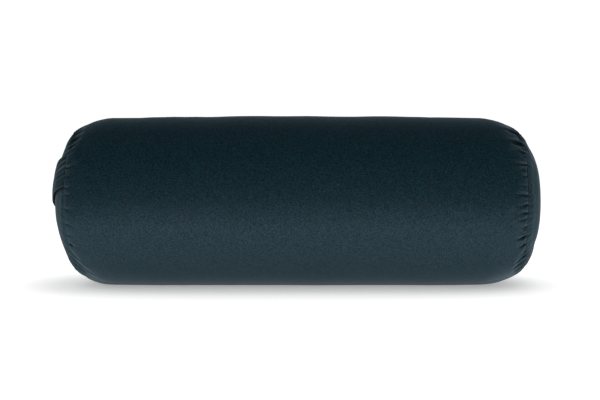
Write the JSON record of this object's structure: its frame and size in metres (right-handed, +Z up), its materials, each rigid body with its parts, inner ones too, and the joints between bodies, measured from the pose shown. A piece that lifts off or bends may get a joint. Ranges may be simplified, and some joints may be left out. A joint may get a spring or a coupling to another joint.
{
  "type": "bolster pillow",
  "caption": "Firm round bolster cushion with a zipped removable cover, gathered domed ends and a sewn carry handle on one end, for massage and yoga support.",
  "frame": {"origin": "on the resting face, under the middle of the cushion", "axes": "+X along the cushion towards the end without the handle, +Z up, +Y to the back where the zip is"},
  "size_m": [0.6634, 0.23, 0.2269],
  "materials": {
    "cover_fabric": "brushed velvet-like pile, dark petrol blue",
    "thread": "matte sewing thread",
    "zip_tape": "woven zip tape",
    "zip_coil": "satin nylon coil",
    "zip_metal": "dark enamelled zinc",
    "label": "blank satin ribbon",
    "liner_fabric": "unbleached calico",
    "batting": "rolled cotton batting",
    "wadding": "loose fibre wadding"
  },
  "bodies": {
    "cushion": {"cover_tube": "cover_fabric", "cover_end_left": "cover_fabric", "cover_end_right": "cover_fabric", "end_seam_thread_left": "thread", "end_seam_thread_right": "thread", "zip_tape_upper": "zip_tape", "zip_tape_lower": "zip_tape", "zip_coil_upper": "zip_coil", "zip_coil_lower": "zip_coil", "zip_top_stops": "zip_metal", "zip_bottom_stop": "zip_metal", "zip_topstitching": "thread", "care_label": "label", "liner_tube": "liner_fabric", "liner_end_left": "liner_fabric", "liner_end_right": "liner_fabric", "core_roll": "batting", "wadding_wrap": "wadding", "wadding_end_left": "wadding", "wadding_end_right": "wadding"},
    "zip_slider": {"zip_slider": "zip_metal"},
    "zip_pull": {"zip_pull": "zip_metal"},
    "handle": {"carry_handle": "cover_fabric"}
  },
  "joints": [
    {"name": "zip_slide", "type": "slide", "parent": "cushion", "child": "zip_slider", "axis": [-1, 0, 0], "range_m": [0, 0.448], "deforming": ["zip_coil_upper", "zip_coil_lower"]},
    {"name": "pull_hinge", "type": "hinge", "parent": "zip_slider", "child": "zip_pull", "pos_m": [0.224, 0.09263, 0.03963], "axis": [0, 0.6157, 0.788], "range_deg": [0, 175]},
    {"name": "handle_lift", "type": "slide", "parent": "cushion", "child": "handle", "axis": [-1, 0, 0], "range_m": [0, 0.024]}
  ]
}
